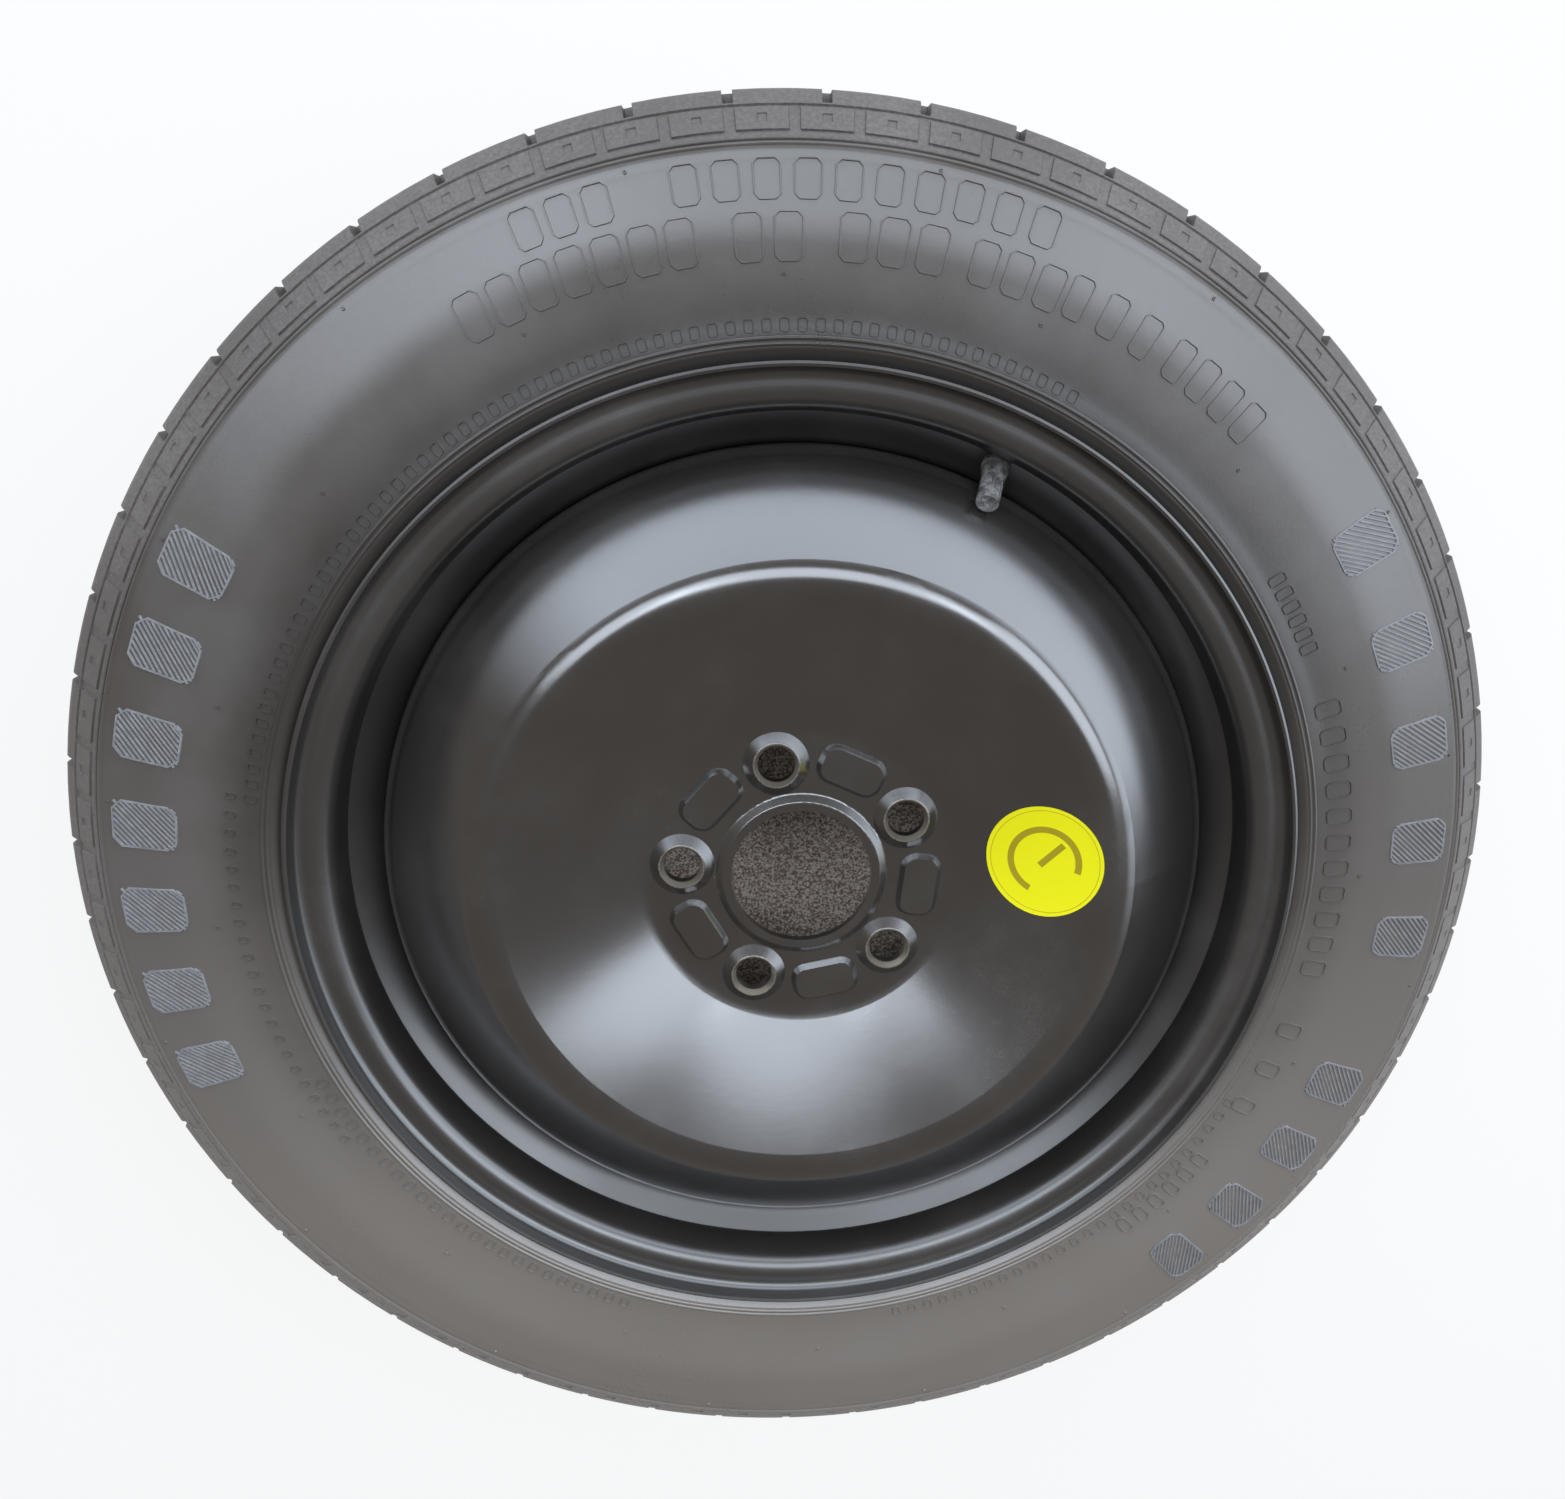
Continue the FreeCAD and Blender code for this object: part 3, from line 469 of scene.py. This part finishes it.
def makeCamera():
    look = cameraLook
    lens = bpy.data.cameras.new("camera")
    lens.sensor_fit = "HORIZONTAL"
    lens.sensor_width = look["sensor"]
    lens.lens = look["focalPixels"] / look["imageWidth"] * look["sensor"]
    lens.shift_x = 0.5 - look["middle"][0] / look["imageWidth"]
    lens.shift_y = (look["middle"][1] - look["imageHeight"] / 2) / look["imageWidth"]
    lens.clip_start = look["clipStart"]
    thing = bpy.data.objects.new("camera", lens)
    bpy.context.scene.collection.objects.link(thing)
    thing.location = look["place"]
    thing.rotation_euler = [math.radians(angle) for angle in look["turned"]]
    bpy.context.scene.camera = thing


makeStage()
makeCamera()
bpy.context.scene.view_settings.view_transform = "Standard"
print("stage and camera ready")


# Tyre: an outline of revolution in two rings a side, a tread ring with slots and grooves over a wall ring

tyreLook = {
    "middle": -29.0,
    # radius, half width and rounding of the outline's corners, from the crown to the bead and back inside
    "corners": ((309.5, 0.0, 0.0), (309.5, 26.0, 90.0), (307.6, 46.5, 8.0), (288.0, 61.2, 25.0),
                (262.0, 63.5, 90.0), (221.0, 61.0, 1.6), (217.1, 57.8, 0.0), (217.1, 50.6, 6.7),
                (203.0, 50.6, 6.3), (201.5, 33.2, 0.8), (210.0, 36.2, 6.0), (229.0, 51.0, 20.0),
                (262.0, 55.0, 50.0), (297.5, 40.0, 18.0), (297.5, 0.0, 0.0)),
    "arcSteps": 10, "flankHalf": 40.0, "lipRadius": 221.5,
    # where the rings meet: radius, depth of the joint, and the paths that close each ring inside
    "seamRadius": 288.7, "seamHalf": 0.25, "seamDip": 1.6,
    "treadBack": ((286.0, 56.0), (299.0, 42.0), (299.0, 0.0)),
    "wallBack": ((298.7, 0.0), (298.7, 42.0), (286.5, 57.0)),
    "grooveMiddles": (0.0, 24.0), "grooveHalf": 3.0, "grooveDepth": 5.0,
    "slotCount": 54, "slotHalf": 1.8, "slotStart": 34.0, "slotFloor": 302.2,
    "bandTop": 301.6, "bandFoot": 291.2, "bandDepth": 0.7,
    "panelCount": 81, "panelHalf": 9.6, "panelTop": 300.6, "panelFoot": 292.4,
    "barHalf": 1.7, "barTop": 298.2, "barFoot": 295.4, "barDepth": 0.45,
    # middle and rise of the ribs, and where each has its rows
    "ribs": ((289.7, 0.55), (287.7, 0.55), (224.6, 0.45), (222.6, 0.45)), "ribHalf": 0.8,
    "ribRows": (-1, -0.6, 0, 0.6, 1),
    "sinkTop": 286.0, "sinkFoot": 227.0, "sinkEase": 3.0, "sink": 0.4,
    "edge": 0.12, "rowStep": 3.0, "columnStep": 9.0, "wallColumns": 360, "normalReach": 0.4,
    "smoothAngle": math.radians(32),
}


# straight runs between corners with an arc of the given rounding tangent to both runs at each corner
def roundedOutline(corners, arcSteps):
    corners = np.array(corners)
    runs = [corners[:1, :2]]
    for before, corner, after in zip(corners[:-2], corners[1:-1], corners[2:]):
        spot, rounding = corner[:2], corner[2]
        back = (before[:2] - spot) / np.linalg.norm(before[:2] - spot)
        ahead = (after[:2] - spot) / np.linalg.norm(after[:2] - spot)
        half = math.acos(float(np.dot(back, ahead))) / 2
        centre = spot + (back + ahead) / np.linalg.norm(back + ahead) * rounding / math.sin(half)
        start, end = [spot + way * rounding / math.tan(half) - centre for way in (back, ahead)]
        first = math.atan2(start[1], start[0])
        swept = (math.atan2(end[1], end[0]) - first + math.pi) % fullTurn - math.pi
        turned = first + swept * np.linspace(0, 1, arcSteps if rounding > 0 else 1)
        runs.append(centre + rounding * np.stack([np.cos(turned), np.sin(turned)], -1))
    runs.append(corners[-1:, :2])
    return np.vstack(runs)


# quads between the rows and columns of a grid that closes both ways
def gridFaces(rowCount, columnCount, flipped):
    row, column = np.meshgrid(np.arange(rowCount), np.arange(columnCount), indexing="ij")
    nextRow, nextColumn = (row + 1) % rowCount, (column + 1) % columnCount
    corners = [row * columnCount + column, nextRow * columnCount + column,
               nextRow * columnCount + nextColumn, row * columnCount + nextColumn]
    faces = np.stack(corners if flipped else corners[::-1], -1)
    return faces.reshape(-1, 4).tolist()


# 1 from low to high, 0 outside
def inside(value, low, high):
    return ((value > low) & (value < high)).astype(float)


# the outline, the length along it, and the stretch of it that the side wall takes
def tyreOutline():
    outline = roundedOutline(tyreLook["corners"], tyreLook["arcSteps"])
    length = np.concatenate([[0], np.cumsum(np.linalg.norm(np.diff(outline, axis=0), axis=1))])
    lip = int(np.argmax(outline[:, 0] < tyreLook["lipRadius"]))
    return outline, length, slice(int(np.argmax(outline[:, 1] > tyreLook["flankHalf"])), lip)


# radius, half width and outward normal of the outline at places along it
def outlineRows(outline, length, places):
    reach = tyreLook["normalReach"]
    radius, half = [np.interp(places, length, outline[:, part]) for part in (0, 1)]
    fall, widen = [np.interp(places + reach, length, outline[:, part]) - np.interp(
        places - reach, length, outline[:, part]) for part in (0, 1)]
    steep = np.maximum(np.hypot(fall, widen), 1e-6)
    return radius, half, widen / steep, -fall / steep


# places along the outline of radii on the side wall
def flankPlaces(outline, length, flank, radii):
    return np.interp(-np.array(radii), -outline[flank, 0], length[flank])


# a parabola across each rib
def ribHeight(radius):
    height = np.zeros_like(radius)
    for middle, rise in tyreLook["ribs"]:
        height += rise * np.clip(1 - ((radius - middle) / tyreLook["ribHalf"]) ** 2, 0, 1)
    return height


def ribRadii():
    middles = np.array(tyreLook["ribs"])[:, :1]
    return (middles + tyreLook["ribHalf"] * np.array(tyreLook["ribRows"])).ravel()


# rows of radius and half width, closed by a path inside and turned about Z
def turnRing(name, side, far, half, closing, turns):
    closing = np.array(closing)[:, :, None] * np.ones(len(turns))
    far = np.vstack([far, closing[:, 0]])
    level = tyreLook["middle"] + side * np.vstack([half, closing[:, 1]])
    vertices = mm * np.stack([far * np.cos(turns), far * np.sin(turns), level], -1).reshape(-1, 3)
    piece = makeObject(name, vertices, gridFaces(*far.shape, side < 0), rubber, tyreLook["smoothAngle"])
    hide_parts("tyre")
    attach(piece, "wheel")
    return piece


# columns at both edges of each slot, panel and bar, and between them where they lie far apart
def treadTurns():
    look = tyreLook
    slotTurn, panelTurn = fullTurn / look["slotCount"], fullTurn / look["panelCount"]
    edge = look["edge"] / look["bandTop"]
    slotEdges = look["slotHalf"] / look["slotFloor"] * np.array([-1, 1])
    halves = np.array([look["panelHalf"], look["barHalf"]]) / look["bandTop"]
    slots = np.arange(look["slotCount"])[:, None] * slotTurn + slotEdges
    panels = (np.arange(look["panelCount"])[:, None] + 0.5) * panelTurn + np.append(-halves, halves)
    edges = np.concatenate([slots.ravel(), panels.ravel()])
    turns = np.unique(np.round(np.concatenate([edges - edge, edges + edge]) % fullTurn, 6))
    gaps = np.diff(np.append(turns, turns[0] + fullTurn))
    between = (turns + gaps / 2)[gaps > look["columnStep"] / look["bandTop"]]
    return np.sort(np.concatenate([turns, between]))


# the outline from the crown to the seam, lowered in the grooves and the band, cut to a floor in the slots
def makeTread(name, side, shift):
    look = tyreLook
    outline, length, flank = tyreOutline()
    seam = flankPlaces(outline, length, flank, [look["seamRadius"]])[0]
    across = [middle + sign * look["grooveHalf"] for middle in look["grooveMiddles"] for sign in (-1, 1)]
    across = np.array([place for place in across if place > 0] + [look["slotStart"]])
    lines = flankPlaces(outline, length, flank, [look[key] for key in (
        "slotFloor", "bandTop", "panelTop", "barTop", "barFoot", "panelFoot", "bandFoot")])
    edges = np.concatenate([across, lines])
    places = np.concatenate([edges - look["edge"], edges + look["edge"], np.arange(0, seam, look["rowStep"]),
                             length, flankPlaces(outline, length, flank, ribRadii())])
    places = np.unique(np.round(places, 2))
    places = places[places < seam - look["seamHalf"]]
    places = np.append(places, seam + np.array([-1, 0.8]) * look["seamHalf"])
    radius, half, outRadius, outHalf = outlineRows(outline, length, places)

    turns = treadTurns()
    slotTurn, panelTurn = fullTurn / look["slotCount"], fullTurn / look["panelCount"]
    fromSlot = np.abs((turns + slotTurn / 2) % slotTurn - slotTurn / 2) * look["slotFloor"]
    fromPanel = np.abs(turns % panelTurn - panelTurn / 2) * look["bandTop"]
    shoulder = half > look["slotStart"]
    height = np.where(shoulder, ribHeight(radius), 0.0)[:, None] * np.ones(len(turns))
    for middle in look["grooveMiddles"]:
        groove = inside(half, middle - look["grooveHalf"], middle + look["grooveHalf"])
        height -= look["grooveDepth"] * groove[:, None]
    band = shoulder * inside(radius, look["bandFoot"], look["bandTop"])
    panel = shoulder * inside(radius, look["panelFoot"], look["panelTop"])
    panel = np.outer(panel, fromPanel < look["panelHalf"])
    bar = shoulder * inside(radius, look["barFoot"], look["barTop"])
    bar = np.outer(bar, fromPanel < look["barHalf"])
    height -= look["bandDepth"] * (band[:, None] - panel) + look["barDepth"] * bar
    height[-1] = -look["seamDip"]
    far = radius[:, None] + outRadius[:, None] * height
    cut = np.outer(shoulder & (radius > look["slotFloor"]), fromSlot < look["slotHalf"])
    far = np.where(cut, look["slotFloor"], far)
    half = half[:, None] + outHalf[:, None] * height
    return turnRing(name, side, far, half, look["treadBack"], turns + shift * slotTurn)


# the outline from the seam over the bead to the inner crown, raised on the ribs and sunk between them
def makeWall(name, side):
    look = tyreLook
    outline, length, flank = tyreOutline()
    seam = flankPlaces(outline, length, flank, [look["seamRadius"]])[0]
    places = np.concatenate([np.arange(seam, length[flank.stop], look["rowStep"]), length,
                             flankPlaces(outline, length, flank, ribRadii())])
    places = np.unique(np.round(places, 2))
    places = places[places > seam + look["seamHalf"]]
    places = np.append(seam + np.array([-0.8, 1]) * look["seamHalf"], places)
    radius, half, outRadius, outHalf = outlineRows(outline, length, places)
    sunk = np.clip((look["sinkTop"] - radius) / look["sinkEase"], 0, 1) * np.clip(
        (radius - look["sinkFoot"]) / look["sinkEase"], 0, 1)
    height = np.where(places < length[flank.stop], ribHeight(radius) - look["sink"] * sunk, 0.0)
    height[0] = -look["seamDip"]
    turns = np.arange(look["wallColumns"]) * fullTurn / look["wallColumns"]
    far, half = [np.outer(row, np.ones(len(turns))) for row in (
        radius + outRadius * height, half + outHalf * height)]
    return turnRing(name, side, far, half, look["wallBack"], turns)


for name, side, shift in (("treadFront", 1, 0.0), ("treadBack", -1, 0.5)):
    print(name, len(makeTread(name, side, shift).data.polygons), "faces")
for name, side in (("wallFront", 1), ("wallBack", -1)):
    print(name, len(makeWall(name, side).data.polygons), "faces")


# Rim: a sheet of even thickness, turned about Z

rimLook = {
    "middle": -29.0, "wall": 2.0, "edge": 0.5, "columns": 360, "arcSteps": 7, "smoothAngle": math.radians(40),
    # radius, half width and rounding of the bead side, from the outer flange to the well
    "corners": ((216.9, 61.1, 0.0), (216.9, 50.8, 6.5), (202.8, 50.8, 6.5), (201.243, 33.0, 3.0),
                (203.6, 29.4, 2.8), (188.8, 16.6, 6.0)),
}


# the bead side and its parallel at the wall's thickness, joined by rounded edges and turned
def makeRim():
    look = rimLook
    half = np.array(look["corners"])
    bead = roundedOutline(np.vstack([half, half[::-1] * np.array([1, -1, 1])]), look["arcSteps"])
    along = np.gradient(bead, axis=0)
    along = along / np.linalg.norm(along, axis=1)[:, None]
    aside = np.stack([along[:, 1], -along[:, 0]], -1)
    tips = [bead[end] + aside[end] * look["wall"] / 2 + sign * along[end] * look["edge"]
            for end, sign in ((-1, 1), (0, -1))]
    loop = np.vstack([bead, tips[:1], (bead + aside * look["wall"])[::-1], tips[1:]])
    turns = np.arange(look["columns"]) * fullTurn / look["columns"]
    level = np.broadcast_to(loop[:, 1:] + look["middle"], (len(loop), len(turns)))
    vertices = mm * np.stack([loop[:, :1] * np.cos(turns), loop[:, :1] * np.sin(turns), level], -1)
    faces = gridFaces(len(loop), len(turns), True)
    piece = makeObject("rimSheet", vertices.reshape(-1, 3), faces, paint, look["smoothAngle"])
    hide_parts("rim")
    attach(piece, "wheel")
    return piece


print("rimSheet", len(makeRim().data.polygons), "faces")


# Marks on the side walls: plain boxes, hatched bars, dashes and nibs, all as raised lines

markLook = {
    # count, first and last compass angle, radius, length along, height across and line width of each row
    "front": (
        (3, 109.0, 103.5, 276.5, 9.5, 13.0, 0.8), (10, 97.0, 70.0, 276.5, 9.5, 13.0, 0.8),  # boxes
        (7, 115.5, 98.0, 258.5, 10.0, 16.0, 0.8), (2, 92.7, 89.5, 258.0, 10.0, 16.0, 0.8),
        (3, 84.3, 78.0, 258.5, 10.5, 16.0, 0.8), (3, 73.7, 68.0, 258.5, 9.5, 15.0, 0.8),
        (3, 65.5, 59.0, 259.5, 8.0, 15.0, 0.8), (4, 55.5, 47.5, 259.5, 8.0, 15.0, 0.8),
        (11, 19.0, -11.0, 235.0, 7.0, 10.5, 0.6), (3, -19.0, -29.5, 236.0, 7.0, 10.5, 0.6),  # small boxes
        (6, -38.0, -50.0, 237.0, 5.0, 8.0, 0.6), (6, 34.0, 26.0, 234.5, 4.0, 7.0, 0.6),
        (64, 166.0, 62.0, 229.0, 3.4, 4.6, 0.5), (24, 246.0, 200.0, 229.5, 3.6, 5.0, 0.5),  # dashes
        (26, 330.0, 280.0, 229.0, 3.2, 4.4, 0.5), (22, 207.0, 166.0, 236.5, 2.6, 3.4, 0.5),
        (16, 0.0, 337.5, 246.0, 0.9, 0.9, 0.9), (16, 11.0, 348.5, 284.0, 0.8, 0.8, 0.8),  # nibs
    ),
    "hatch": ((7, 194.0, 146.4, 269.5, 19.0, 25.0, 1.2), (5, 32.4, -6.5, 270.5, 19.0, 24.0, 1.2),
              (4, -23.2, -48.2, 270.0, 19.0, 25.0, 1.2)),
    "back": ((9, 110.0, 70.0, 250.0, 10.0, 15.0, 0.8), (9, 290.0, 250.0, 250.0, 10.0, 15.0, 0.8),
             (16, 5.0, 342.5, 246.0, 0.9, 0.9, 0.9)),
    "frontRise": 0.6, "backRise": 0.36, "sunk": 0.2, "section": (-1, -0.5, 0.5, 1), "chamfer": 0.18,
    "hatchPitch": 2.5, "hatchInset": 0.3, "hatchLeast": 1.0, "slopeReach": 0.5,
    "smoothAngle": math.radians(50),
}


# lines of a low trapezoid section carried along paths on the side wall; paths are (mark, point, along, out)
def raiseLines(paths, compass, radius, width, closed, side):
    look = markLook
    outline, _, flank = tyreOutline()
    wall = outline[flank]
    ahead = np.roll(paths, -1, 1) - np.roll(paths, 1, 1) if closed else np.broadcast_to(
        paths[:, -1:] - paths[:, :1], paths.shape)
    ahead = ahead / np.linalg.norm(ahead, axis=2)[..., None]
    across = width / 2 * np.array(look["section"])
    rise = look["frontRise"] if side > 0 else look["backRise"]
    lift = np.array([-look["sunk"], rise, rise, -look["sunk"]]) - tyreLook["sink"]
    along = paths[..., :1] - ahead[..., 1:] * across
    away = radius + paths[..., 1:] + ahead[..., :1] * across
    half, inner, outer = [np.interp(-away + reach, -wall[:, 0], wall[:, 1]) for reach in (
        0.0, look["slopeReach"], -look["slopeReach"])]
    lean = (inner - outer) / (2 * look["slopeReach"])
    steep = np.sqrt(1 + lean ** 2)
    far = away + lift * lean / steep
    level = tyreLook["middle"] + side * (half + lift / steep)
    turns = compass[:, None, None] - along / radius
    points = mm * np.stack([far * np.cos(turns), far * np.sin(turns), level], -1)
    marks, steps, ring = points.shape[:3]
    faces = np.array(gridFaces(steps, ring, side > 0))
    if not closed:
        caps = np.array([[0, 1, 2, 3], [3, 2, 1, 0]]) + np.array([[0], [(steps - 1) * ring]])
        faces = np.vstack([faces[:(steps - 1) * ring], caps if side > 0 else caps[:, ::-1]])
    faces = faces[None] + (np.arange(marks) * steps * ring)[:, None, None]
    return points.reshape(-1, 3), faces.reshape(-1, 4)


# outline of a box with cut corners
def boxOutline(long, high):
    cut = markLook["chamfer"] * min(long, high)
    x, y = long / 2, high / 2
    return np.array([(-x + cut, -y), (x - cut, -y), (x, -y + cut), (x, y - cut), (x - cut, y), (-x + cut, y),
                     (-x, y - cut), (-x, -y + cut)])


# both ends of lines at 45 degrees, a pitch apart and clipped to a box
def hatchLines(long, high):
    pitch, inset = markLook["hatchPitch"], markLook["hatchInset"]
    offsets = np.arange(-(long + high) / 2 + pitch, (long + high) / 2, pitch)
    low = np.maximum(-long / 2, -high / 2 - offsets) + inset
    up = np.minimum(long / 2, high / 2 - offsets) - inset
    keep = up - low > markLook["hatchLeast"]
    low, up, offsets = low[keep], up[keep], offsets[keep]
    return np.stack([np.stack([low, low + offsets], -1), np.stack([up, up + offsets], -1)], 1)


# the rows of one group in one piece: each mark is a raised box outline, with raised hatching if asked for
def makeMarks(name, side, group, material, hatched):
    spots, quads, start = [], [], 0
    for count, first, last, radius, long, high, width in markLook[group]:
        compass = np.radians(np.linspace(first, last, count))
        parts = [(np.tile(boxOutline(long, high), (count, 1, 1)), compass, True)]
        if hatched:
            lines = hatchLines(long, high)
            parts.append((np.tile(lines, (count, 1, 1)), np.repeat(compass, len(lines)), False))
        for paths, places, closed in parts:
            vertices, faces = raiseLines(paths, places, radius, width, closed, side)
            spots.append(vertices)
            quads.append(faces + start)
            start += len(vertices)
    piece = makeObject(name, np.vstack(spots), np.vstack(quads).tolist(), material, markLook["smoothAngle"])
    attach(piece, "wheel")
    return piece


# the hatched bars take the paler rubber, which is painted light
for name, side, group, material, hatched in (
        ("marksFront", 1, "front", rubber, False), ("hatchFront", 1, "hatch", paintedLightRubber, True),
        ("marksBack", -1, "back", rubber, False)):
    print(name, len(makeMarks(name, side, group, material, hatched).data.polygons), "faces")


# Core spring: a round wire along a helix, in place of the CAD spring

springLook = {"turns": 6, "turnSteps": 28, "ring": 10, "smoothAngle": math.radians(50)}


# a round wire carried along a helix; axis, ends and radii are those of the CAD spring
def makeSpring():
    look = springLook
    joint = next(joint for joint in frame["joints"] if joint["name"] == "core_pin_press")
    axis = -np.array(joint["axis"])
    mesh = nodes["core_spring"].data
    spots = np.empty(len(mesh.vertices) * 3)
    mesh.vertices.foreach_get("co", spots)
    spots = spots.reshape(-1, 3)
    middle = spots.mean(axis=0)
    along = (spots - middle) @ axis
    away = np.linalg.norm(spots - middle - np.outer(along, axis), axis=1)
    coil, wire = (away.max() + away.min()) / 2, (away.max() - away.min()) / 2
    east = np.cross(axis, (0, 0, 1))
    east = east / np.linalg.norm(east)
    north = np.cross(axis, east)
    turned = np.linspace(0, look["turns"] * fullTurn, look["turns"] * look["turnSteps"] + 1)
    level = np.linspace(along.min() + wire, along.max() - wire, len(turned))
    spoke = np.outer(np.cos(turned), east) + np.outer(np.sin(turned), north)
    around = np.arange(look["ring"]) * fullTurn / look["ring"]
    outward = spoke[:, None] * (coil + wire * np.cos(around))[:, None]
    vertices = middle + np.outer(level, axis)[:, None] + outward + axis * (wire * np.sin(around))[:, None]
    faces = gridFaces(len(turned), look["ring"], True)[:(len(turned) - 1) * look["ring"]]
    caps = np.arange(look["ring"])
    faces += [caps.tolist(), (caps[::-1] + (len(turned) - 1) * look["ring"]).tolist()]
    piece = makeObject("coilSpring", vertices.reshape(-1, 3), faces, drawnSteel, look["smoothAngle"])
    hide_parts("core_spring")
    inner, outer = [middle + axis * reach for reach in (along.min(), along.max())]
    tuple(inner)
    tuple(outer)
    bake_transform(piece)
    return piece


print("coilSpring", len(makeSpring().data.polygons), "faces")
